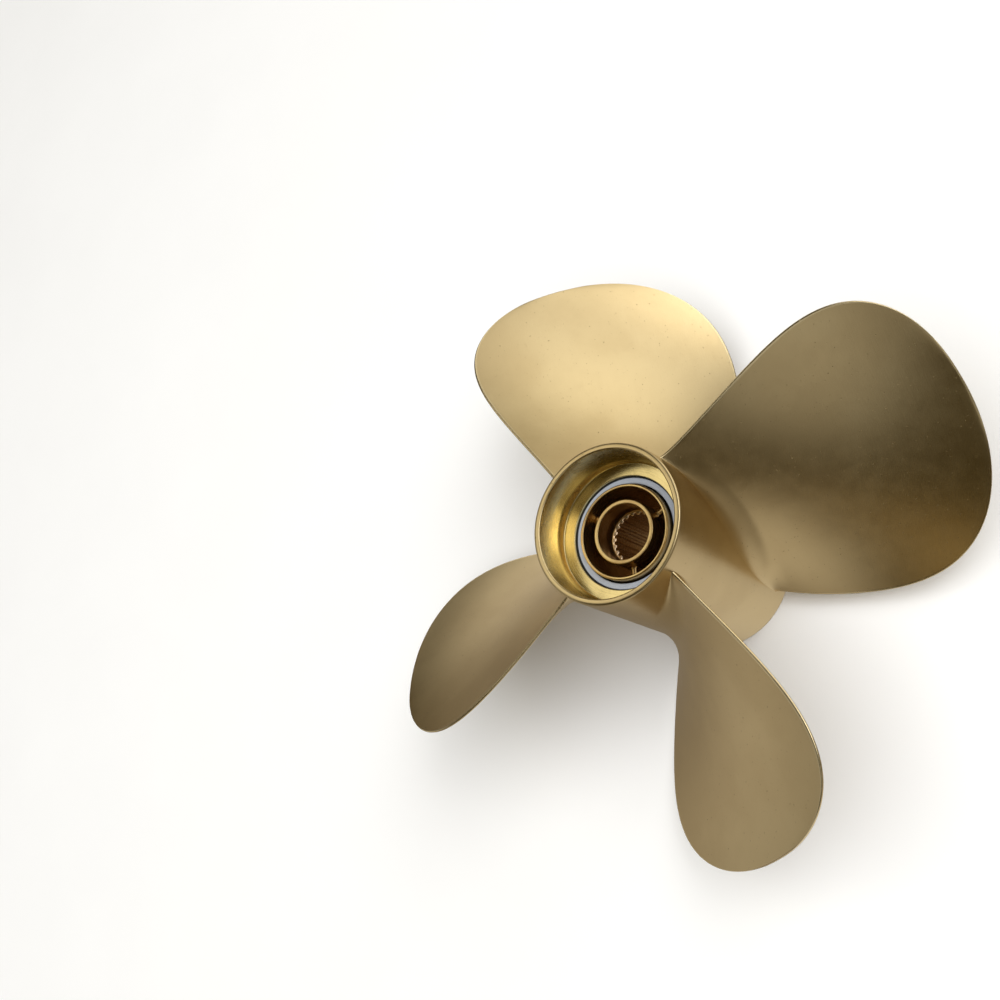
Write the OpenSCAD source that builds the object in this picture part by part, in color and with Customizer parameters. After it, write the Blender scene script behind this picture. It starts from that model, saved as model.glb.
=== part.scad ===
// Boat propeller with a rubber-cushioned hub: four cast blades on a tapered hub shell, a
// pressed-in cushion bush between two plastic rings, and a splined spider insert for the shaft.
// Z is the shaft axis. The part stands on its rear hub rim at z = 0, and +Z points to the open
// front rim. Seen from the front, each blade falls away clockwise: a right-handed screw.

/* [Hub] */
// Length of the hub from rear rim to front rim
hub_len = 216; // [205:1:240]
// Outer radius of the hub at the front rim
hub_front_r = 67.5; // [66:0.5:70]
// Outer radius of the hub at the rear rim
hub_rear_r = 71; // [70:0.5:76]
// Radius of the turned recess at each end
recess_r = 62; // [60:0.5:63]
// Depth of the front recess
front_recess = 35; // [30:1:40]
// Depth of the rear recess
rear_recess = 22; // [18:1:26]
// Radius of the bore that holds the cushion bush
bush_bore_r = 48; // [48:0.1:48.2]
// Rounding of the rim edges
rim_edge = 2; // [1:0.25:2.5]

/* [Blades] */
// Radius of the blade tips
blade_r = 280; // [260:5:320]
// Angle of the first blade from +X
first_blade = 90; // [0:5:90]
// Blade length along the screw line where its outline starts
root_chord = 192; // [180:1:200]
// How much longer the blade would be at the tip, were the tip not rounded off
chord_gain = 105; // [80:5:120]
// How far out the blade stays wide before its tip rounds off
tip_fullness = 5; // [4:0.5:6]
// How blunt the rounded tip is
tip_bluntness = 2.4; // [2:0.1:3]
// How far the blade's middle is swept along the screw line at the tip
tip_sweep = 52; // [45:1:60]
// Thickness of the blade at its root
root_thick = 13; // [10:0.5:15]
// Thickness of the blade near its tip
tip_thick = 4; // [3:0.5:6]
// Thickness of the blade's edges
edge_thick = 2.4; // [2:0.1:3]
// Pitch of the screw line at the root
root_pitch = 855; // [800:5:900]
// Pitch of the screw line at the tip
tip_pitch = 1100; // [1000:10:1200]
// Height of the blade's middle line where it starts
root_height = 112; // [108:1:114]
// Height of the blade's middle line at the tip
tip_height = 105; // [100:1:110]
// How far the middle line sags between root and tip
mid_sag = 12; // [8:1:16]
// Radius of the fillet between a blade's faces and the hub
root_fillet = 18; // [10:1:20]

/* [Cushion bush] */
// Wall of the bush's outer sleeve
sleeve_wall = 1.8; // [1.5:0.1:2]
// Height of the rubber's rear end
rubber_z0 = 36; // [34:1:40]
// Height of the rubber's front end
rubber_z1 = 168; // [160:1:169]
// Inner radius of the plastic end rings
ring_in_r = 42.5; // [42:0.5:44]
// Outer radius of the plastic end rings
ring_out_r = 47.5; // [47:0.1:47.8]
// Thickness of the plastic end rings
ring_h = 6; // [4:0.5:7]
// How far the end rings lie below the recess floors
ring_sink = 3; // [2:0.5:4]

/* [Splined insert] */
// Outer radius of the insert's outer tube
tube_out_r = 41; // [40:0.5:41.5]
// Wall of the outer tube
tube_wall = 2.7; // [2.2:0.1:3]
// Outer radius of the insert's core
core_out_r = 27.5; // [27:0.5:29]
// Radius of the smooth pilot bores at the core's two ends
pilot_r = 24; // [23.5:0.5:24.5]
// Depth of the smooth front pilot bore
pilot_len = 25; // [20:1:30]
// Height of the insert's front end
insert_top = 184.5; // [182:0.5:190]
// Height of the insert's rear end
insert_bottom = 18; // [16:1:22]
// Number of spline teeth
spline_teeth = 24; // [18:1:30]
// Radius at the bottom of the spline's grooves
spline_major_r = 22.2; // [21.5:0.1:22.8]
// Radius at the tips of the spline's teeth
spline_minor_r = 20.2; // [19:0.1:20.5]
// Thickness of each web
web_thick = 5; // [4:0.5:7]

/* [Hidden] */
$fn = 96;
bronze = [0.74, 0.61, 0.37];
bronze_dark = [0.62, 0.49, 0.29];
brass = [0.80, 0.62, 0.33];
white_plastic = [0.84, 0.87, 0.92];
black_rubber = [0.08, 0.08, 0.08];
fit_gap = 0.05;             // running clearance between the rubber and the sleeve
floor_front = hub_len - front_recess;
floor_rear = rear_recess;
corner_w = 2.5;             // sloping corner between each recess wall and its floor
corner_h = 6;
seal_r = 48.6;              // outer radius of the two seal rings
seal_h = 6.5;
seal_seat = ring_sink + ring_h;
sleeve_in_r = bush_bore_r - sleeve_wall;
tube_in_r = tube_out_r - tube_wall;
rubber_waist = 3;           // hollow of the rubber's free end faces
insert_chamfer = 1;
spline_top = insert_top - pilot_len;
spline_bottom = insert_bottom + pilot_len;
tooth_share = 0.46;         // part of a tooth's pitch that its tip fills
web_top = insert_top - 15;
web_bottom = insert_bottom + 12;
web_first = 20;             // angle of the first web from +X
web_count = 3;
joint_gap = 0.05;           // clearance where a web or a blade meets a round wall
blade_count = 4;
blade_start_r = 60;         // radius where the blade's outline starts
pitch_settle = 2.5;         // how early the pitch settles towards its value at the tip
blade_trim_r = 64;          // innermost station, inside the hub's wall
chord_cells = 12;           // cells across a blade, closer together at its edges
span_rows = 17;             // rows from the root fillet to the tip
fillet_rows = 5;
edge_flare = 0.15;          // how much of the root's flare lengthens it at each edge
tip_row = 0.985;            // the last row, as a share of the span measure

// ---- blade geometry -------------------------------------------------------------------
// u runs from 0 at the start radius to 1 at the tip, and slows down towards the tip.
function span_u(r) = 1 - sqrt(max(0, (1 - r / blade_r) / (1 - blade_start_r / blade_r)));
function span_r(u) = blade_r * (1 - (1 - blade_start_r / blade_r) * pow(1 - u, 2));
function span_x(r) = (r - blade_start_r) / (blade_r - blade_start_r);
// Length of the blade along the screw line, its middle's shift, its pitch and its height
function chord(x) = (root_chord + chord_gain * x)
                    * pow(1 - pow(x, tip_fullness), 1 / tip_bluntness);
function mid_shift(u) = tip_sweep * u;
function pitch(x) = tip_pitch - (tip_pitch - root_pitch) * pow(1 - x, pitch_settle);
function mid_height(x) = root_height + (tip_height - root_height) * x - 4 * mid_sag * x * (1 - x);
function thickness(x) = tip_thick + (root_thick - tip_thick) * pow(1 - x, 1.6);
// Outward flare of the root fillet at a height h above the hub
function flare(h) = h >= root_fillet ? 0
    : root_fillet - sqrt(pow(root_fillet, 2) - pow(root_fillet - max(h, 0), 2));
// Half thickness at a place q across the blade, from -1 at one edge to 1 at the other. The
// root's flare is full on the faces and runs out towards the two edges.
function half_thick(x, q, grow) =
    edge_thick / 2 + ((thickness(x) - edge_thick) / 2 + grow) * (1 - pow(q, 2));
// A point at radius r, s along the screw line and w across it
function blade_point(r, s, w) =
    let (x = span_x(r), slope = atan2(pitch(x), 2 * PI * r),
         turn = (s * cos(slope) - w * sin(slope)) / r * 180 / PI)
    [r * cos(turn), r * sin(turn), mid_height(x) + s * sin(slope) + w * cos(slope)];
function blade_row(r, side) =
    let (u = span_u(r), x = span_x(r), grow = flare(r - hub_rear_r),
         c = chord(x) + 2 * edge_flare * grow)
    [for (j = [0:chord_cells]) let (q = -cos(180 * j / chord_cells))
        blade_point(r, mid_shift(u) + q * c / 2, side * half_thick(x, q, grow))];
fillet_top_r = hub_rear_r + root_fillet;
u_fillet = span_u(fillet_top_r);
row_radii = concat(
    [blade_trim_r],
    [for (i = [0:fillet_rows - 1]) hub_rear_r + root_fillet * (1 - cos(90 * i / fillet_rows))],
    [for (i = [0:span_rows]) span_r(u_fillet + (tip_row - u_fillet) * i / span_rows)]);

module blade_body() {
    rows = len(row_radii);
    n = chord_cells + 1;
    loop = 2 * n;
    points = [for (r = row_radii) each concat(blade_row(r, 1),
              [for (k = [chord_cells:-1:0]) blade_row(r, -1)[k]])];
    skin = [for (i = [0:rows - 2], k = [0:loop - 1])
        let (a = i * loop + k, b = i * loop + (k + 1) % loop, c = b + loop, d = a + loop)
        each [[a, b, c], [a, c, d]]];
    caps = [for (e = [0, rows - 1], k = [0:chord_cells - 1])
        let (o = e * loop, a = o + k, b = o + k + 1, c = o + loop - 2 - k, d = o + loop - 1 - k)
        each e == 0 ? [[a, c, b], [a, d, c]] : [[a, b, c], [a, c, d]]];
    polyhedron(points = points, faces = concat(skin, caps), convexity = 6);
}

module blade(index) {
    color(bronze)
    difference() {
        rotate([0, 0, first_blade - index * 360 / blade_count]) blade_body();
        cylinder(r1 = hub_rear_r + 2 * joint_gap, r2 = hub_front_r + 2 * joint_gap, h = hub_len);
    }
}

// ---- hub --------------------------------------------------------------------------------
module ring(r_in, r_out, z0, z1) {
    translate([0, 0, z0])
    difference() {
        cylinder(r = r_out, h = z1 - z0);
        translate([0, 0, -1]) cylinder(r = r_in, h = z1 - z0 + 2);
    }
}

module hub_shell() {
    c = rim_edge;
    color(bronze)
    rotate_extrude()
    polygon([
        [hub_rear_r - c, 0], [hub_rear_r, c], [hub_front_r, hub_len - c],
        [hub_front_r - c, hub_len], [recess_r + 1, hub_len], [recess_r, hub_len - 1],
        [recess_r, floor_front + corner_h], [recess_r - corner_w, floor_front],
        [seal_r, floor_front],
        [seal_r, floor_front - seal_seat], [bush_bore_r, floor_front - seal_seat],
        [bush_bore_r, floor_rear + seal_seat], [seal_r, floor_rear + seal_seat],
        [seal_r, floor_rear], [recess_r - corner_w, floor_rear],
        [recess_r, floor_rear - corner_h], [recess_r, 1], [recess_r + 1, 0]]);
}

module blade_1() blade(0);
module blade_2() blade(1);
module blade_3() blade(2);
module blade_4() blade(3);

// ---- cushion bush -----------------------------------------------------------------------
module bush_sleeve() {
    color(bronze_dark)
    ring(sleeve_in_r, bush_bore_r, floor_rear + seal_seat, floor_front - seal_seat);
}

module rubber_bush() {
    r_out = sleeve_in_r - fit_gap;
    r_mid = (tube_out_r + r_out) / 2;
    color(black_rubber)
    rotate_extrude()
    polygon([[tube_out_r, rubber_z0], [r_mid, rubber_z0 + rubber_waist], [r_out, rubber_z0],
             [r_out, rubber_z1], [r_mid, rubber_z1 - rubber_waist], [tube_out_r, rubber_z1]]);
}

module end_ring(z0) {
    color(white_plastic) ring(ring_in_r, ring_out_r, z0, z0 + ring_h);
}

module front_ring() end_ring(floor_front - ring_sink - ring_h);
module rear_ring() end_ring(floor_rear + ring_sink);

module seal(z0) {
    color(black_rubber) ring(ring_out_r, seal_r, z0, z0 + seal_h);
}

module front_seal() seal(floor_front - seal_seat);
module rear_seal() seal(floor_rear + seal_seat - seal_h);

// ---- splined insert ---------------------------------------------------------------------
module insert_tube() {
    c = insert_chamfer;
    color(brass)
    rotate_extrude()
    polygon([[tube_in_r, insert_bottom], [tube_out_r - c, insert_bottom],
             [tube_out_r, insert_bottom + c], [tube_out_r, insert_top - c],
             [tube_out_r - c, insert_top], [tube_in_r, insert_top]]);
}

module spline_space() {
    step = 360 / spline_teeth;
    tip = step * tooth_share / 2;
    foot = tip * 1.3;
    polygon([for (i = [0:spline_teeth - 1], k = [[-tip, spline_minor_r], [tip, spline_minor_r],
             [step / 2 - (foot - tip), spline_major_r], [step / 2 + (foot - tip), spline_major_r]])
             let (a = i * step + k[0], r = k[1]) [r * cos(a), r * sin(a)]]);
}

module insert_core() {
    c = insert_chamfer;
    color(brass)
    difference() {
        rotate_extrude()
        polygon([[10, insert_bottom], [core_out_r - c, insert_bottom],
                 [core_out_r, insert_bottom + c], [core_out_r, insert_top - c],
                 [core_out_r - c, insert_top], [10, insert_top]]);
        translate([0, 0, spline_top]) cylinder(r = pilot_r, h = pilot_len + 1);
        translate([0, 0, insert_bottom - 1]) cylinder(r = pilot_r, h = pilot_len + 1);
        translate([0, 0, spline_bottom - 1])
        linear_extrude(height = spline_top - spline_bottom + 2) spline_space();
    }
}

module insert_web(index) {
    color(brass)
    intersection() {
        ring(core_out_r + joint_gap, tube_in_r - joint_gap, web_bottom, web_top);
        rotate([0, 0, web_first + index * 360 / web_count])
        translate([core_out_r / 2, -web_thick / 2, web_bottom])
        cube([tube_out_r, web_thick, web_top - web_bottom]);
    }
}

module insert_web_1() insert_web(0);
module insert_web_2() insert_web(1);
module insert_web_3() insert_web(2);

hub_shell();
blade_1();
blade_2();
blade_3();
blade_4();
bush_sleeve();
rubber_bush();
front_ring();
rear_ring();
front_seal();
rear_seal();
insert_tube();
insert_core();
insert_web_1();
insert_web_2();
insert_web_3();
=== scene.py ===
"""Looks of a four-bladed boat propeller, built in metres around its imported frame."""
import math

import bmesh
import bpy
import numpy as np
from mathutils import Euler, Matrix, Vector, noise


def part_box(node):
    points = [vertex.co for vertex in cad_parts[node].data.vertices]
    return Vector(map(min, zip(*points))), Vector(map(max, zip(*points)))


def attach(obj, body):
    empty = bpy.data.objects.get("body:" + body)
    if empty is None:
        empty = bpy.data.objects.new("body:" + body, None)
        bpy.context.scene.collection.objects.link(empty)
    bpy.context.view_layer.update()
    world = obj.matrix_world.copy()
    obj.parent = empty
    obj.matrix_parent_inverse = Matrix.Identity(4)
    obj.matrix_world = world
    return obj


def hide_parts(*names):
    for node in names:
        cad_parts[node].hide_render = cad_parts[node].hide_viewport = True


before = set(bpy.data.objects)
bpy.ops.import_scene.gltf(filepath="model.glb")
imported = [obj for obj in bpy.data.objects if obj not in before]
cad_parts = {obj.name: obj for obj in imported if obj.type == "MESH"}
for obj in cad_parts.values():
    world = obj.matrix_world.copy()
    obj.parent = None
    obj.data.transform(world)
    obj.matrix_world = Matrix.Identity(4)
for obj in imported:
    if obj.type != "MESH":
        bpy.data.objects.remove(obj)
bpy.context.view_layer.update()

# ---- sizes, in millimetres -------------------------------------------------------------
MM = 0.001


def node_box(name):
    low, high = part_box(name)
    return np.array(low) / MM, np.array(high) / MM


HUB_HIGH = node_box("hub_shell")[1]
HUB_LEN = HUB_HIGH[2]
HUB_REAR_R = HUB_HIGH[0]
HUB_TAPER = 3.5
HUB_FRONT_R = HUB_REAR_R - HUB_TAPER
RECESS_R = 62.0
FLOOR_FRONT = HUB_LEN - 35.0
FLOOR_REAR = 22.0
CORNER_W, CORNER_H = 2.5, 6.0
BEVEL = 0.9                 # inner bevel of the rims
RIM_EDGE_REAR, RIM_EDGE_FRONT = 2.0, 2.2
SEAL_SEAT = 9.0
BORE_R = 48.0
SEAL_R = 48.6

RING_LOW, RING_HIGH = node_box("front_ring")
RING_OUT_R = RING_HIGH[0]
RING_WALL = 5.0
RING_IN_R = RING_OUT_R - RING_WALL
RING_H = RING_HIGH[2] - RING_LOW[2]
REAR_RING_Z = node_box("rear_ring")[0][2]
SEAL_H = 6.5
SLEEVE_WALL = 1.8
RUBBER_WAIST = 3.0

TUBE_LOW, TUBE_HIGH = node_box("insert_tube")
INSERT_BOTTOM, INSERT_TOP = TUBE_LOW[2], TUBE_HIGH[2]
TUBE_OUT_R = TUBE_HIGH[0]
TUBE_WALL = 2.7
TUBE_IN_R = TUBE_OUT_R - TUBE_WALL
CORE_OUT_R = node_box("insert_core")[1][0]
PILOT_R = 24.0
PILOT_LEN = 25.0
SPLINE_TEETH = 24
SPLINE_MAJOR_R = 22.2
SPLINE_MINOR_R = 20.2
WEBS = 3
FIRST_WEB = 20              # angle of the first web, in degrees
WEB_THICK = 5.0

BLADES = 4
BLADE_R = 280.0
BLADE_START_R = 60.0
FIRST_BLADE = math.radians(90)
ROOT_CHORD, CHORD_GAIN = 192.0, 105.0
TIP_FULLNESS, TIP_BLUNTNESS, TIP_SWEEP = 5.0, 2.4, 52.0
ROOT_THICK, TIP_THICK, EDGE_THICK = 13.0, 4.0, 2.4
ROOT_PITCH, TIP_PITCH, PITCH_SETTLE = 855.0, 1100.0, 2.5
ROOT_HEIGHT, TIP_HEIGHT, MID_SAG = 112.0, 105.0, 12.0
ROOT_FILLET = 18.0
EDGE_FLARE = 0.15
FOOT_SINK = 0.05            # how far the root fillet's foot lies under the hub's surface
BURIED = 4.0                # how far below its foot a blade ends, inside the hub's wall
BURIED_FLARE = 2.0
NOSE_POINTS = 7             # points on the rounded nose at each of a blade's edges
EDGE_BAND = 1.6             # width of the band along a blade's edges that is polished smoother and carries a painted highlight


# ---- mesh helpers ------------------------------------------------------------------------
CORNER_STEPS = 5            # cells on each rounded corner


def turn_outward(mesh):
    """Points every face of a closed mesh away from its inside."""
    shell = bmesh.new()
    shell.from_mesh(mesh)
    bmesh.ops.recalc_face_normals(shell, faces=shell.faces[:])
    shell.to_mesh(mesh)
    shell.free()


def make_object(name, points, faces, materials, body, replaced, face_materials=None, edge=None):
    """A smooth-shaded mesh from points in millimetres, riding on a CAD body."""
    mesh = bpy.data.meshes.new(name)
    mesh.from_pydata((np.asarray(points) * MM).tolist(), [], [list(f) for f in faces])
    mesh.validate()
    turn_outward(mesh)
    for material in materials:
        mesh.materials.append(material)
    mesh.polygons.foreach_set("use_smooth", [True] * len(mesh.polygons))
    if face_materials is not None:
        mesh.polygons.foreach_set("material_index", face_materials)
    if edge is not None:
        attribute = mesh.attributes.new("edge", "FLOAT", "POINT")
        attribute.data.foreach_set("value", np.asarray(edge, np.float32))
    obj = bpy.data.objects.new(name, mesh)
    bpy.context.scene.collection.objects.link(obj)
    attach(obj, body)
    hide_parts(*replaced)
    return obj


def grid_faces(rows, columns, close_rows):
    """Quads of a grid whose columns close on themselves, and whose rows may."""
    faces = []
    for i in range(rows if close_rows else rows - 1):
        for k in range(columns):
            a = i * columns + k
            b = i * columns + (k + 1) % columns
            faces.append((a, b, (b + columns) % (rows * columns), (a + columns) % (rows * columns)))
    return faces


def end_cap(first, columns, start, reverse):
    """Closes a row with quads from side to side, so that the cap follows the row's own curve."""
    faces = []
    for i in range(columns // 2):
        ring = [start + i, start + i + 1, start - i - 1, start - i]
        corners = list(dict.fromkeys(k % columns for k in ring))
        faces.append(tuple(first + k for k in (corners[::-1] if reverse else corners)))
    return faces


def round_corners(corners, steps=CORNER_STEPS):
    """Turns corners (r, z, radius) of a closed outline into points, with an arc in place of each corner."""
    out = []
    count = len(corners)
    for i, (r, z, radius) in enumerate(corners):
        here = np.array([r, z])
        before = np.array(corners[i - 1][:2]) - here
        after = np.array(corners[(i + 1) % count][:2]) - here
        reach = min(radius, 0.49 * np.linalg.norm(before), 0.49 * np.linalg.norm(after))
        if reach <= 0:
            out.append(here)
            continue
        start = here + before / np.linalg.norm(before) * reach
        end = here + after / np.linalg.norm(after) * reach
        for t in np.linspace(0, 1, steps + 1):
            out.append((1 - t) ** 2 * start + 2 * t * (1 - t) * here + t ** 2 * end)
    return np.array(out)


def split_long(profile, longest=6.0):
    """Adds points on the long straight stretches of a closed outline, so that no quad is very long."""
    out = []
    for a, b in zip(profile, np.roll(profile, -1, axis=0)):
        cells = max(1, int(np.linalg.norm(b - a) // longest))
        out.extend(a + (b - a) * t for t in np.arange(cells) / cells)
    return np.array(out)


def lathe(name, corners, materials, body, replaced, segments=240, machined=None):
    """A closed outline of (r, z, corner radius), turned about Z."""
    profile = split_long(round_corners(corners))
    angles = np.arange(segments) * 2 * math.pi / segments
    points = [(r * math.cos(a), r * math.sin(a), z) for r, z in profile for a in angles]
    faces = grid_faces(len(profile), segments, True)
    indices = None
    if machined is not None:
        middle = (profile + np.roll(profile, -1, axis=0)) / 2
        indices = np.repeat([machined(r, z) for r, z in middle], segments).tolist()
    return make_object(name, points, faces, materials, body, replaced, indices)


# ---- materials ----------------------------------------------------------------------------
class Nodes:
    """Short calls that build one material's node tree."""

    def __init__(self, name):
        self.material = bpy.data.materials.new(name)
        self.material.use_nodes = True
        self.tree = self.material.node_tree
        self.shader = self.tree.nodes["Principled BSDF"]
        self.place = self.add("ShaderNodeTexCoord").outputs["Object"]

    def add(self, kind, **settings):
        node = self.tree.nodes.new(kind)
        for key, value in settings.items():
            setattr(node, key, value)
        return node

    def put(self, socket, value):
        if isinstance(value, bpy.types.NodeSocket):
            self.tree.links.new(value, socket)
        else:
            socket.default_value = value

    def noise(self, scale, detail=4.0, rough=0.5, vector=None, distortion=0.0):
        node = self.add("ShaderNodeTexNoise")
        self.put(node.inputs["Vector"], vector or self.place)
        for key, value in (("Scale", scale), ("Detail", detail), ("Roughness", rough),
                           ("Distortion", distortion)):
            node.inputs[key].default_value = value
        return node.outputs["Fac"]

    def stretch(self, scale, turn=(0, 0, 0)):
        node = self.add("ShaderNodeMapping")
        self.put(node.inputs["Vector"], self.place)
        node.inputs["Rotation"].default_value = [math.radians(a) for a in turn]
        node.inputs["Scale"].default_value = scale
        return node.outputs["Vector"]

    def span(self, value, low, high, to_low=0.0, to_high=1.0):
        node = self.add("ShaderNodeMapRange", interpolation_type="SMOOTHSTEP")
        self.put(node.inputs["Value"], value)
        for key, number in (("From Min", low), ("From Max", high), ("To Min", to_low), ("To Max", to_high)):
            node.inputs[key].default_value = number
        return node.outputs["Result"]

    def math(self, operation, a, b=0.0):
        node = self.add("ShaderNodeMath", operation=operation)
        self.put(node.inputs[0], a)
        self.put(node.inputs[1], b)
        return node.outputs[0]

    def mix(self, factor, a, b):
        node = self.add("ShaderNodeMix", data_type="RGBA")
        self.put(node.inputs["Factor"], factor)
        for socket, value in ((node.inputs[6], a), (node.inputs[7], b)):
            self.put(socket, value if isinstance(value, bpy.types.NodeSocket) else (*value, 1.0))
        return node.outputs[2]

    def bump(self, height, distance, strength=1.0, normal=None):
        node = self.add("ShaderNodeBump")
        self.put(node.inputs["Height"], height)
        node.inputs["Distance"].default_value = distance
        node.inputs["Strength"].default_value = strength
        if normal is not None:
            self.put(node.inputs["Normal"], normal)
        return node.outputs["Normal"]

    def edge(self):
        return self.add("ShaderNodeAttribute", attribute_name="edge").outputs["Fac"]

    def turning(self, grooves):
        """A vector that only changes with radius and height, so that noise on it makes turned rings."""
        parts = self.add("ShaderNodeSeparateXYZ")
        self.put(parts.inputs[0], self.place)
        across = self.math("MULTIPLY", parts.outputs["X"], parts.outputs["X"])
        along = self.math("MULTIPLY", parts.outputs["Y"], parts.outputs["Y"])
        radius = self.math("SQRT", self.math("ADD", across, along))
        joined = self.add("ShaderNodeCombineXYZ")
        self.put(joined.inputs["X"], self.math("MULTIPLY", radius, grooves))
        self.put(joined.inputs["Y"], self.math("MULTIPLY", parts.outputs["Z"], grooves))
        return joined.outputs[0]

    def finish(self, color, roughness, normal=None, metallic=0.0):
        self.put(self.shader.inputs["Base Color"], color)
        self.put(self.shader.inputs["Roughness"], roughness)
        if normal is not None:
            self.put(self.shader.inputs["Normal"], normal)
        self.shader.inputs["Metallic"].default_value = metallic
        return self.material


def cast_bronze():
    """Ground bronze: broad tone drifts, mottling, dark pin holes, grinding scratches, and polished edges
    lightened with a painted highlight.
    """
    n = Nodes("cast_bronze")
    drift = n.span(n.noise(9.0, 3.0, 0.5), 0.35, 0.68)
    mottle = n.noise(75.0, 6.0, 0.62)
    tone = n.math("ADD", n.math("MULTIPLY", drift, 0.55), n.math("MULTIPLY", mottle, 0.45))
    color = n.mix(n.span(tone, 0.2, 0.8), (0.70, 0.54, 0.285), (0.78, 0.615, 0.335))
    stain = n.span(n.noise(31.0, 7.0, 0.7, distortion=0.6), 0.58, 0.78, 0.0, 0.07)
    color = n.mix(stain, color, (0.50, 0.36, 0.19))
    pits = n.span(n.noise(520.0, 2.0, 0.5), 0.70, 0.78)
    color = n.mix(n.math("MULTIPLY", pits, 0.6), color, (0.20, 0.14, 0.07))
    # painted highlight: the band along the edges is lightened towards pale gold, on top of its real
    # smoother polish
    color = n.mix(n.math("MULTIPLY", n.edge(), 0.75), color, (0.95, 0.80, 0.50))
    grind_a = n.noise(1.0, 5.0, 0.6, n.stretch((60, 60, 1600), (20, 35, 0)))
    grind_b = n.noise(1.0, 5.0, 0.6, n.stretch((1400, 50, 50), (0, 30, 50)))
    grind = n.math("ADD", grind_a, grind_b)
    rough = n.math("ADD", n.span(mottle, 0.3, 0.7, 0.25, 0.29), n.math("MULTIPLY", grind, 0.05))
    rough = n.math("SUBTRACT", rough, n.math("MULTIPLY", n.edge(), 0.12))
    normal = n.bump(grind, 0.00006, 0.5)
    normal = n.bump(n.noise(160.0, 3.0, 0.5), 0.00012, 0.35, normal)
    normal = n.bump(n.math("SUBTRACT", 1.0, pits), 0.0002, 0.6, normal)
    return n.finish(color, rough, normal, 1.0)


def turned_bronze():
    """Bright lathe-turned bronze inside the hub, with rings, tarnish patches and a few green specks."""
    n = Nodes("turned_bronze")
    rings = n.noise(1.0, 3.0, 0.6, n.turning(1900.0))
    broad = n.noise(1.0, 2.0, 0.5, n.turning(260.0))
    tarnish = n.span(n.noise(42.0, 6.0, 0.65, distortion=0.4), 0.42, 0.72)
    color = n.mix(broad, (0.76, 0.61, 0.28), (0.86, 0.71, 0.36))
    color = n.mix(n.math("MULTIPLY", tarnish, 0.22), color, (0.55, 0.39, 0.18))
    green = n.span(n.noise(95.0, 5.0, 0.7), 0.70, 0.76)
    color = n.mix(n.math("MULTIPLY", green, 0.4), color, (0.16, 0.20, 0.12))
    rough = n.math("ADD", n.span(rings, 0.3, 0.7, 0.17, 0.27), n.math("MULTIPLY", tarnish, 0.10))
    normal = n.bump(rings, 0.00004, 0.5)
    normal = n.bump(broad, 0.00010, 0.3, normal)
    return n.finish(color, rough, normal, 1.0)


def machined_brass():
    """The insert: turned brass with a patchy film, and painted shade that turns it darker, redder and
    browner down into its bores.
    """
    n = Nodes("machined_brass")
    rings = n.noise(1.0, 3.0, 0.6, n.turning(1500.0))
    film = n.noise(55.0, 6.0, 0.6, distortion=0.3)
    color = n.mix(n.span(film, 0.3, 0.75), (0.80, 0.60, 0.28), (0.62, 0.42, 0.19))
    parts = n.add("ShaderNodeSeparateXYZ")
    n.put(parts.inputs[0], n.place)
    # painted shade: the brass turns darker and browner going down from the insert's top face into its bores
    bore_shade = n.span(parts.outputs["Z"], (INSERT_TOP - 2) * MM, (INSERT_TOP - 20) * MM)
    color = n.mix(n.math("MULTIPLY", bore_shade, 0.85), color, (0.46, 0.29, 0.12))
    # painted highlight: the chamfered tooth ends, marked by the edge attribute, are lightened towards pale
    # brass
    color = n.mix(n.math("MULTIPLY", n.edge(), 0.9), color, (0.96, 0.74, 0.52))
    rough = n.math("ADD", n.span(rings, 0.3, 0.7, 0.20, 0.30), n.math("MULTIPLY", film, 0.10))
    normal = n.bump(rings, 0.00004, 0.5)
    normal = n.bump(n.noise(300.0, 3.0, 0.5), 0.00006, 0.4, normal)
    return n.finish(color, rough, normal, 1.0)


def sleeve_bronze():
    """The bush's outer sleeve: dull drawn tube."""
    n = Nodes("sleeve_bronze")
    draw = n.noise(1.0, 3.0, 0.5, n.turning(800.0))
    color = n.mix(n.noise(60.0, 4.0), (0.52, 0.40, 0.22), (0.64, 0.50, 0.29))
    return n.finish(color, n.span(draw, 0.3, 0.7, 0.35, 0.5), n.bump(draw, 0.00004, 0.4), 1.0)


def ring_plastic():
    """Bluish white turned plastic, slightly scuffed and greyed."""
    n = Nodes("ring_plastic")
    dirt = n.span(n.noise(70.0, 6.0, 0.65), 0.50, 0.78)
    color = n.mix(n.math("MULTIPLY", dirt, 0.55), (0.36, 0.39, 0.44), (0.27, 0.28, 0.30))
    rings = n.noise(1.0, 2.0, 0.5, n.turning(1300.0))
    rough = n.span(rings, 0.3, 0.7, 0.38, 0.52)
    n.shader.inputs["Subsurface Weight"].default_value = 0.15
    n.shader.inputs["Subsurface Radius"].default_value = (0.002, 0.002, 0.002)
    return n.finish(color, rough, n.bump(rings, 0.00006, 0.5))


def black_rubber():
    """Moulded rubber with a fine grain and pale bloom."""
    n = Nodes("black_rubber")
    bloom = n.span(n.noise(90.0, 5.0, 0.6), 0.5, 0.8)
    color = n.mix(n.math("MULTIPLY", bloom, 0.5), (0.012, 0.013, 0.014), (0.05, 0.05, 0.05))
    grain = n.noise(900.0, 3.0, 0.6)
    return n.finish(color, n.span(grain, 0.3, 0.7, 0.5, 0.7), n.bump(grain, 0.00008, 0.5))


# ---- blades -------------------------------------------------------------------------------
def hub_radius(z):
    return HUB_REAR_R + (HUB_FRONT_R - HUB_REAR_R) * z / HUB_LEN


HUB_MID_R = (HUB_REAR_R + HUB_FRONT_R) / 2


def smooth(t):
    t = np.clip(t, 0, 1)
    return t * t * (3 - 2 * t)


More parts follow.
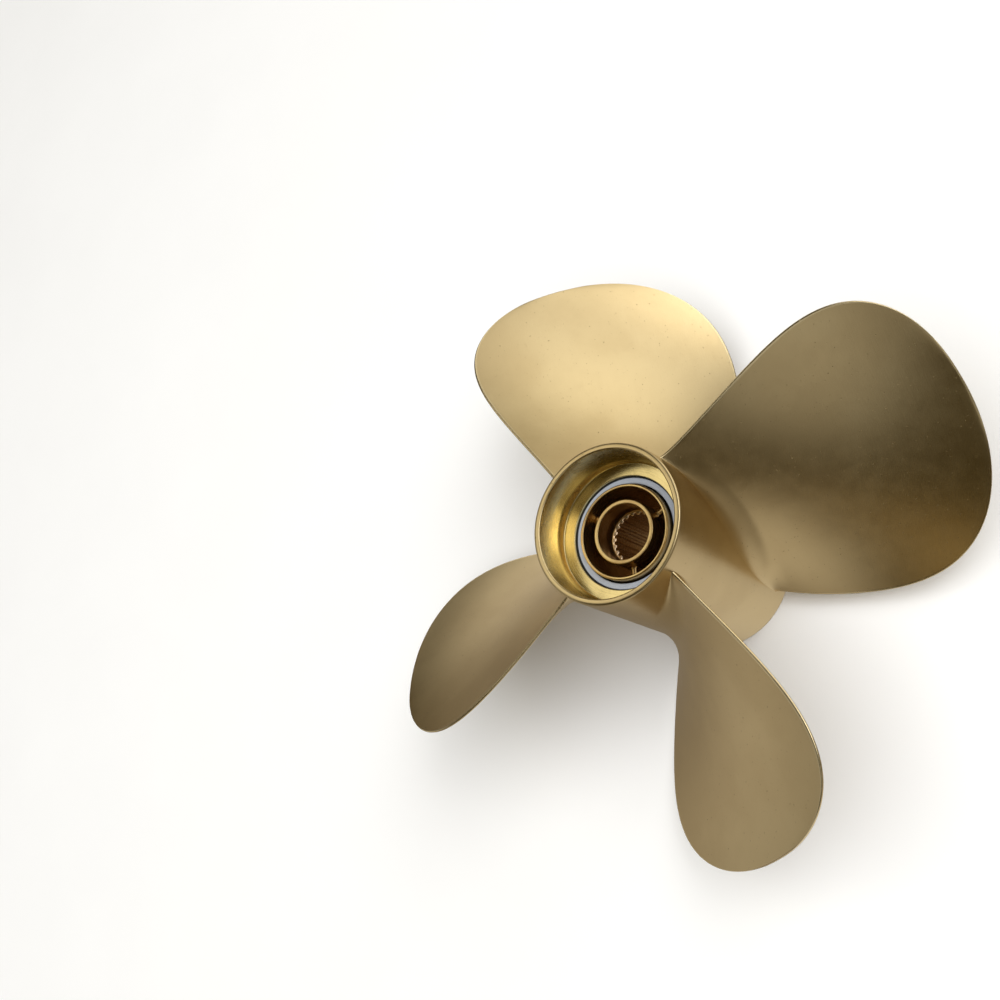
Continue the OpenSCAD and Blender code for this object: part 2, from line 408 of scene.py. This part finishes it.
def blade_rows(fillet_steps=16, span_steps=86):
    """Each row's radius and how far the root fillet flares there."""
    foot = HUB_MID_R - FOOT_SINK
    rows = [(foot - BURIED, BURIED_FLARE), (foot - 0.2, ROOT_FILLET + 1.5)]
    for a in np.linspace(0, math.pi / 2, fillet_steps):
        rows.append((foot + ROOT_FILLET * (1 - math.cos(a)), ROOT_FILLET * (1 - math.sin(a))))
    top = foot + ROOT_FILLET
    first = 1 - math.sqrt((1 - top / BLADE_R) / (1 - BLADE_START_R / BLADE_R))
    for t in np.linspace(0, 1, span_steps + 1)[1:]:
        u = first + (0.999 - first) * (1 - (1 - t) ** 1.25)
        rows.append((BLADE_R * (1 - (1 - BLADE_START_R / BLADE_R) * (1 - u) ** 2), 0.0))
    return rows


def section(radius, flare, cells=72):
    """One row: places along the screw line and across it, and how near each is to an edge."""
    x = (radius - BLADE_START_R) / (BLADE_R - BLADE_START_R)
    u = 1 - math.sqrt(max(0.0, (1 - radius / BLADE_R) / (1 - BLADE_START_R / BLADE_R)))
    rounding = max(0.0, 1 - x ** TIP_FULLNESS) ** (1 / TIP_BLUNTNESS)
    chord = (ROOT_CHORD + CHORD_GAIN * x) * rounding
    shift = TIP_SWEEP * u
    thick = TIP_THICK + (ROOT_THICK - TIP_THICK) * (1 - x) ** 1.6
    half_edge = min(EDGE_THICK / 2, chord * 0.4)
    inside = chord / 2 - half_edge + EDGE_FLARE * flare
    from_tip = min(1.0, (BLADE_R - radius) / (EDGE_THICK / 2))
    shrink = math.sqrt(1 - (1 - from_tip) ** 2)
    along, across, near = [], [], []
    for side in (1, -1):
        for q in side * np.cos(np.linspace(0, math.pi, cells)):
            half = half_edge + (thick / 2 - half_edge + flare) * (1 - q * q)
            along.append(shift + q * inside)
            across.append(side * half * shrink)
            near.append(smooth(1 - (1 - abs(q)) * inside / EDGE_BAND))
        for a in np.linspace(0, math.pi, NOSE_POINTS + 2)[1:-1]:
            along.append(shift - side * (inside + half_edge * math.sin(a)))
            across.append(side * half_edge * math.cos(a) * shrink)
            near.append(1.0)
    # nearness to an edge drives both the painted edge highlight and the smoother polish
    tip = smooth(1 - (BLADE_R - radius) / EDGE_BAND)
    near = np.maximum(near, tip) * (0.35 if flare > 0.5 else 1.0)
    pitch = TIP_PITCH - (TIP_PITCH - ROOT_PITCH) * (1 - x) ** PITCH_SETTLE
    height = ROOT_HEIGHT + (TIP_HEIGHT - ROOT_HEIGHT) * x - 4 * MID_SAG * x * (1 - x)
    return np.array(along), np.array(across), near, math.atan2(pitch, 2 * math.pi * radius), height


def hand_ground(point, seed):
    """Slight waves that grinding by hand leaves in the surface, in millimetres."""
    place = Vector(point) * 0.014 + Vector((seed * 7.3, 0, 0))
    fine = Vector(point) * 0.06 + Vector((0, seed * 5.1, 0))
    return 0.10 * noise.noise(place) + 0.015 * noise.noise(fine)


def blade(index, material):
    points, near_edge = [], []
    turn = FIRST_BLADE - index * 2 * math.pi / BLADES
    rows = blade_rows()
    for radius, flare in rows:
        along, across, near, slope, height = section(radius, flare)
        z = height + along * math.sin(slope) + across * math.cos(slope)
        arc = along * math.cos(slope) - across * math.sin(slope)
        follow = smooth(1 - (radius - HUB_MID_R) / 40.0)
        r = radius + (hub_radius(z) - HUB_MID_R) * follow
        angle = turn + arc / r
        row = np.stack([r * np.cos(angle), r * np.sin(angle), z], axis=1)
        push = (1 - follow) * smooth((BLADE_R - radius) / 12.0)
        normal = np.stack([math.sin(slope) * np.sin(angle), -math.sin(slope) * np.cos(angle),
                           np.full(len(z), math.cos(slope))], axis=1)
        wave = np.array([hand_ground(p, index + 1) for p in row]) * push * (1 - near)
        points.append(row + normal * wave[:, None])
        near_edge.append(near)
    columns = len(near_edge[0])
    nose_middle = columns - (NOSE_POINTS + 1) // 2
    faces = grid_faces(len(rows), columns, False)
    faces += end_cap(0, columns, nose_middle, True)
    faces += end_cap((len(rows) - 1) * columns, columns, nose_middle, False)
    name = "blade_%d" % (index + 1)
    return make_object(name + "_casting", np.concatenate(points), faces, [material], "propeller",
                       [name], edge=np.concatenate(near_edge))


# ---- hub ----------------------------------------------------------------------------------
def hub(cast, turned):
    corner_r = RECESS_R - CORNER_W
    corners = [
        (HUB_REAR_R, 0, RIM_EDGE_REAR), (HUB_FRONT_R, HUB_LEN, RIM_EDGE_FRONT),
        (RECESS_R + BEVEL, HUB_LEN, 0.35),
        (RECESS_R, HUB_LEN - BEVEL, 0.35), (RECESS_R, FLOOR_FRONT + CORNER_H, 2.5),
        (corner_r + 0.5, FLOOR_FRONT + 1.5, 1.0), (corner_r - 0.5, FLOOR_FRONT, 0.5),
        (SEAL_R, FLOOR_FRONT, 0.6), (SEAL_R, FLOOR_FRONT - SEAL_SEAT, 0.2),
        (BORE_R, FLOOR_FRONT - SEAL_SEAT, 0.2), (BORE_R, FLOOR_REAR + SEAL_SEAT, 0.2),
        (SEAL_R, FLOOR_REAR + SEAL_SEAT, 0.2), (SEAL_R, FLOOR_REAR, 0.6),
        (corner_r, FLOOR_REAR, 0.5), (RECESS_R, FLOOR_REAR - CORNER_H, 4.0), (RECESS_R, BEVEL, 0.35),
        (RECESS_R + BEVEL, 0, 0.35)]
    rim_r = RECESS_R + 0.4
    return lathe("hub_casting", corners, [cast, turned], "propeller", ["hub_shell"],
                 segments=320, machined=lambda r, z: 1 if r < rim_r else 0)


# ---- cushion bush -------------------------------------------------------------------------
def end_ring(name, z0, material):
    z1 = z0 + RING_H
    corners = [(RING_IN_R, z0, 0.4), (RING_OUT_R, z0, 0.4), (RING_OUT_R, z1, 0.8), (RING_IN_R, z1, 1.0)]
    return lathe(name + "_turned", corners, [material], "propeller", [name])


def seal(name, z0, up, material):
    """A seal ring with a rounded lip at its outer end."""
    middle = (RING_OUT_R + SEAL_R) / 2
    low, high = (z0, z0 + SEAL_H) if up else (z0 + SEAL_H, z0)
    lip = 0.5 if up else -0.5
    corners = [(RING_OUT_R, low, 0), (SEAL_R, low, 0), (SEAL_R, high - lip, 0.3),
               (middle, high, 0.5), (RING_OUT_R, high - lip, 0.3)]
    return lathe(name + "_moulded", corners, [material], "propeller", [name])


def rubber_bush(material):
    low, high = node_box("rubber_bush")
    r_out = high[0]
    r_mid = (TUBE_OUT_R + r_out) / 2
    corners = [(TUBE_OUT_R, low[2], 0), (r_mid, low[2] + RUBBER_WAIST, 3.0), (r_out, low[2], 0),
               (r_out, high[2], 0), (r_mid, high[2] - RUBBER_WAIST, 3.0), (TUBE_OUT_R, high[2], 0)]
    return lathe("rubber_bush_moulded", corners, [material], "insert", ["rubber_bush"])


def sleeve(material):
    low, high = node_box("bush_sleeve")
    r_out, r_in = BORE_R, BORE_R - SLEEVE_WALL
    corners = [(r_in, low[2], 0.3), (r_out, low[2], 0.3), (r_out, high[2], 0.3), (r_in, high[2], 0.3)]
    return lathe("bush_sleeve_drawn", corners, [material], "propeller", ["bush_sleeve"])


# ---- splined insert -----------------------------------------------------------------------
def insert_tube(material):
    corners = [(TUBE_IN_R, INSERT_BOTTOM, 0.7), (TUBE_OUT_R, INSERT_BOTTOM, 1.2),
               (TUBE_OUT_R, INSERT_TOP, 1.2), (TUBE_IN_R, INSERT_TOP, 0.7)]
    return lathe("insert_tube_turned", corners, [material], "insert", ["insert_tube"])


def spline_radius(angle):
    """Radius of the splined bore at an angle: flat tips, flat grooves and sloping flanks."""
    place = (angle * SPLINE_TEETH / (2 * math.pi)) % 1.0
    from_tip = min(place, 1 - place)
    return SPLINE_MINOR_R + (SPLINE_MAJOR_R - SPLINE_MINOR_R) * smooth((from_tip - 0.21) / 0.11)


def insert_core(material, per_tooth=16):
    """The core: a turned tube whose middle bore carries the spline, with chamfered tooth ends."""
    count = SPLINE_TEETH * per_tooth
    angles = np.arange(count) * 2 * math.pi / count
    teeth = np.array([float(spline_radius(a)) for a in angles])
    top, bottom = INSERT_TOP - PILOT_LEN, INSERT_BOTTOM + PILOT_LEN
    chamfer = 0.9
    lip = round_corners([(PILOT_R, INSERT_TOP, 0.7), (PILOT_R, INSERT_TOP - 10, 0),
                         (CORE_OUT_R, INSERT_TOP - 10, 0), (CORE_OUT_R, INSERT_TOP, 1.0)])
    rows = []
    # the third value of each row marks the chamfer rows that get the painted highlight
    for z in np.linspace(bottom + 1, top - 1, 12):
        rows.append((teeth, z + 0 * teeth, 0))
    rows.append((teeth, np.full(count, top - chamfer), 1))
    rows.append((np.maximum(teeth, SPLINE_MINOR_R + chamfer), np.full(count, top), 1))
    rows.append((np.full(count, PILOT_R - 0.5), np.full(count, top), 0))
    rows.append((np.full(count, PILOT_R), np.full(count, top + 0.5), 0))
    rows.append((np.full(count, PILOT_R), np.full(count, top + 12), 0))
    arc_in = lip[:CORNER_STEPS + 1][::-1]
    arc_out = lip[-CORNER_STEPS - 1:][::-1]
    for r, z in list(arc_in) + list(arc_out):
        rows.append((np.full(count, r), np.full(count, z), 0))
    for z in np.linspace(INSERT_TOP - 8, INSERT_BOTTOM + 8, 12):
        rows.append((np.full(count, CORE_OUT_R), np.full(count, z), 0))
    for r, z in list(arc_out)[::-1] + list(arc_in)[::-1]:
        rows.append((np.full(count, r), np.full(count, INSERT_BOTTOM + INSERT_TOP - z), 0))
    rows.append((np.full(count, PILOT_R), np.full(count, bottom - 12), 0))
    rows.append((np.full(count, PILOT_R), np.full(count, bottom - 0.5), 0))
    rows.append((np.full(count, PILOT_R - 0.5), np.full(count, bottom), 0))
    rows.append((np.maximum(teeth, SPLINE_MINOR_R + chamfer), np.full(count, bottom), 1))
    rows.append((teeth, np.full(count, bottom + chamfer), 1))
    points = np.concatenate([np.stack([r * np.cos(angles), r * np.sin(angles), z], axis=1)
                             for r, z, _ in rows])
    edge = np.concatenate([np.full(count, float(painted_glint)) for _, _, painted_glint in rows])
    faces = grid_faces(len(rows), count, True)
    return make_object("insert_core_splined", points, faces, [material], "insert",
                       ["insert_core"], edge=edge)


def insert_web(index, material):
    """A radial web with a small fillet against each tube and a rounded top and bottom."""
    name = "insert_web_%d" % (index + 1)
    low, high = node_box(name)
    middle = math.radians(FIRST_WEB + index * 360 / WEBS)
    outline = []
    for side in (1, -1):
        for t in side * np.linspace(-1, 1, 15):
            r = (CORE_OUT_R + TUBE_IN_R) / 2 + t * (TUBE_IN_R - CORE_OUT_R + 0.4) / 2
            half = WEB_THICK / 2 + 1.2 * smooth((abs(t) - 0.6) / 0.4) ** 2
            outline.append((r, side * half))
    columns = len(outline)
    levels = [(low[2], 0.80), (low[2] + 0.5, 0.92), (low[2] + 1.6, 1.0)]
    levels += [(z, 1.0) for z in np.linspace(low[2] + 8, high[2] - 8, 8)]
    levels += [(high[2] - 1.6, 1.0), (high[2] - 0.5, 0.92), (high[2], 0.80)]
    points = []
    for z, share in levels:
        for r, half in outline:
            angle = middle + half * share / r
            points.append((r * math.cos(angle), r * math.sin(angle), z))
    faces = grid_faces(len(levels), columns, False)
    faces.append(tuple(range(columns))[::-1])
    faces.append(tuple((len(levels) - 1) * columns + k for k in range(columns)))
    return make_object(name + "_cast", points, faces, [material], "insert", [name])


# ---- studio -------------------------------------------------------------------------------
CAMERA_PLACE = (0.401, -0.346, 1.035)
CAMERA_TURN = (14.3, 35.2, -11.4)
CAMERA_LENS = 43.4
CAMERA_SHIFT = (0.014, 0.049)


def add_camera():
    data = bpy.data.cameras.new("camera")
    data.sensor_width = 36
    data.lens = CAMERA_LENS
    data.shift_x, data.shift_y = CAMERA_SHIFT
    data.clip_end = 50
    camera = bpy.data.objects.new("camera", data)
    camera.location = CAMERA_PLACE
    camera.rotation_euler = Euler([math.radians(a) for a in CAMERA_TURN])
    bpy.context.scene.collection.objects.link(camera)
    bpy.context.scene.camera = camera


def direction(azimuth, elevation):
    a, e = math.radians(azimuth), math.radians(elevation)
    return Vector((math.cos(e) * math.cos(a), math.cos(e) * math.sin(a), math.sin(e)))


def add_light(name, azimuth, elevation, distance, size, power):
    """A soft round lamp that lights the floor and isn't mirrored in the metal."""
    data = bpy.data.lights.new(name, "AREA")
    data.shape = "DISK"
    data.size = size
    data.energy = power
    light = bpy.data.objects.new(name, data)
    light.location = direction(azimuth, elevation) * distance
    light.rotation_euler = direction(azimuth, elevation).to_track_quat("Z", "Y").to_euler()
    light.visible_glossy = False
    bpy.context.scene.collection.objects.link(light)


# Soft glows that the bronze mirrors: azimuth, elevation, inner and outer angle, strength, color
WHITE, CREAM = (1.0, 1.0, 1.0), (1.0, 0.96, 0.82)
WINDOW = (-5, 50, 5, 25, 2.0, WHITE)
SIDE_CARD = (35, 30, 10, 40, 1.0, WHITE)
LOW_CARD = (50, -5, 10, 45, 0.4, CREAM)
RIM_LIGHT = (140, 55, 5, 20, 1.2, CREAM)
LEFT_CARD = (180, 10, 10, 40, 0.3, WHITE)
BACK_PANEL = (-70, 42, 5, 25, 0.45, WHITE)
BACK_SKIRT = (-105, -15, 10, 30, 0.3, WHITE)
SWEEP_NEAR = (-75, -60, 10, 40, 0.4, WHITE)
SWEEP_FAR = (105, -15, 5, 30, 0.5, WHITE)
GLOWS = [WINDOW, SIDE_CARD, LOW_CARD, RIM_LIGHT, LEFT_CARD, BACK_PANEL, BACK_SKIRT, SWEEP_NEAR,
         SWEEP_FAR]
BACKDROP = (0.93, 0.93, 0.92)
ROOM_ABOVE = (0.04, 0.03, 0.01)
ROOM_BELOW = (0.25, 0.22, 0.18)


def add_world():
    """A dim room with soft glows for the metal to mirror, which the camera sees as a pale backdrop."""
    world = bpy.data.worlds.new("studio")
    bpy.context.scene.world = world
    world.use_nodes = True
    tree = world.node_tree
    facing = tree.nodes.new("ShaderNodeTexCoord").outputs["Generated"]

    def toward(axis, low, high):
        dot = tree.nodes.new("ShaderNodeVectorMath")
        dot.operation = "DOT_PRODUCT"
        tree.links.new(facing, dot.inputs[0])
        dot.inputs[1].default_value = axis
        node = tree.nodes.new("ShaderNodeMapRange")
        node.interpolation_type = "SMOOTHSTEP"
        tree.links.new(dot.outputs["Value"], node.inputs["Value"])
        node.inputs["From Min"].default_value = low
        node.inputs["From Max"].default_value = high
        return node.outputs["Result"]

    def add_glow(amount, color, total):
        node = tree.nodes.new("ShaderNodeVectorMath")
        node.operation = "MULTIPLY_ADD"
        tree.links.new(amount, node.inputs[0])
        node.inputs[1].default_value = color
        if isinstance(total, bpy.types.NodeSocket):
            tree.links.new(total, node.inputs[2])
        else:
            node.inputs[2].default_value = total
        return node.outputs["Vector"]

    rise = Vector(ROOM_ABOVE) - Vector(ROOM_BELOW)
    total = add_glow(toward((0, 0, 1), -0.12, 0.10), rise, ROOM_BELOW)
    for azimuth, elevation, inner, outer, strength, color in GLOWS:
        amount = toward(direction(azimuth, elevation), math.cos(math.radians(outer)),
                        math.cos(math.radians(inner)))
        total = add_glow(amount, Vector(color) * strength, total)
    seen = tree.nodes.new("ShaderNodeLightPath").outputs["Is Camera Ray"]
    backdrop = tree.nodes.new("ShaderNodeMix")
    backdrop.data_type = "RGBA"
    tree.links.new(seen, backdrop.inputs["Factor"])
    tree.links.new(total, backdrop.inputs[6])
    backdrop.inputs[7].default_value = (*BACKDROP, 1.0)
    tree.links.new(backdrop.outputs[2], tree.nodes["Background"].inputs["Color"])


def add_floor():
    n = Nodes("pale_floor")
    grain = n.noise(6.0, 3.0, 0.5)
    n.finish(n.mix(grain, (0.86, 0.86, 0.855), (0.90, 0.90, 0.895)), 0.9)
    half = 6.0
    corners = [(-half, -half, 0), (half, -half, 0), (half, half, 0), (-half, half, 0)]
    mesh = bpy.data.meshes.new("floor")
    mesh.from_pydata(corners, [], [(0, 1, 2, 3)])
    mesh.materials.append(n.material)
    floor = bpy.data.objects.new("floor", mesh)
    floor.visible_glossy = False
    bpy.context.scene.collection.objects.link(floor)


# ---- build --------------------------------------------------------------------------------
def main():
    add_camera()
    cast, turned, brass = cast_bronze(), turned_bronze(), machined_brass()
    plastic, rubber = ring_plastic(), black_rubber()
    hub(cast, turned)
    for index in range(BLADES):
        blade(index, cast)
    end_ring("front_ring", RING_LOW[2], plastic)
    end_ring("rear_ring", REAR_RING_Z, plastic)
    seal("front_seal", FLOOR_FRONT - SEAL_SEAT, True, rubber)
    seal("rear_seal", FLOOR_REAR + SEAL_SEAT - SEAL_H, False, rubber)
    rubber_bush(rubber)
    sleeve(sleeve_bronze())
    insert_tube(brass)
    insert_core(brass)
    for index in range(WEBS):
        insert_web(index, brass)
    add_floor()
    add_world()
    add_light("key_softbox", 20, 52, 3.0, 1.6, 20)
    add_light("top_softbox", -60, 80, 5.0, 6.0, 230)
    bpy.context.scene.view_settings.view_transform = "Standard"
    bpy.context.scene.view_settings.look = "None"


main()
